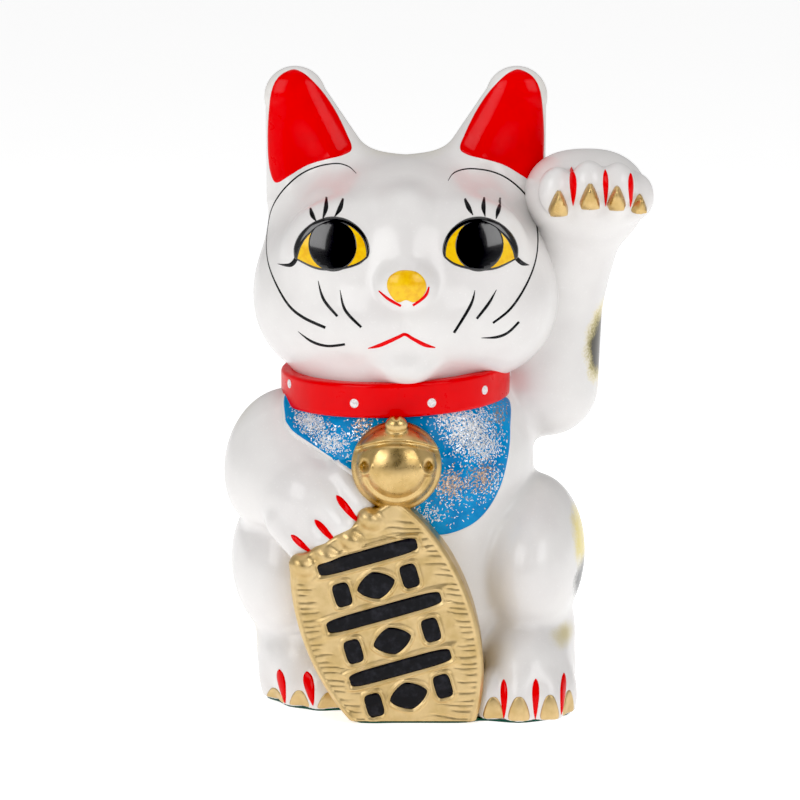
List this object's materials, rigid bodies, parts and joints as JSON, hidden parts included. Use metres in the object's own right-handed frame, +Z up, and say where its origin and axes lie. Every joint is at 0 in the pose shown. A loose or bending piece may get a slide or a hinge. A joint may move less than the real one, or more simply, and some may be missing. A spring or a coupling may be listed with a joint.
{
  "type": "beckoning cat figurine",
  "caption": "Seated glazed earthenware beckoning cat coin bank with a raised paw, gold oval coin, collar, bell and bib, a coin slot behind the head and a rubber base stopper.",
  "frame": {"origin": "underside of the felt, on the plane through the middle of the face", "axes": "+Z up, the cat looks along -Y, the raised paw is on the +X side"},
  "size_m": [0.1634, 0.1296, 0.2449],
  "materials": {
    "white_glaze": "pearl gloss",
    "red_enamel": "gloss enamel",
    "blue_glitter": "gloss enamel with silver flecks",
    "gold_paint": "satin gold lustre over glaze",
    "black_enamel": "gloss enamel",
    "stopper_rubber": "matt",
    "green_felt": "felt"
  },
  "bodies": {
    "figurine": {"body_shell": "white_glaze", "left_haunch": "white_glaze", "right_haunch": "white_glaze", "left_foot": "white_glaze", "right_foot": "white_glaze", "head_shell": "white_glaze", "left_ear": "white_glaze", "right_ear": "white_glaze", "raised_arm": "white_glaze", "raised_paw_claws": "gold_paint", "holding_arm": "white_glaze", "tail": "white_glaze", "collar": "red_enamel", "bib": "blue_glitter", "bell": "gold_paint", "koban": "gold_paint", "koban_emblems": "black_enamel", "felt_base_pad": "green_felt"},
    "stopper": {"stopper": "stopper_rubber"}
  },
  "joints": [
    {"name": "stopper_pull", "type": "slide", "parent": "figurine", "child": "stopper", "axis": [0, 0, -1], "range_m": [0, 0.025]}
  ]
}
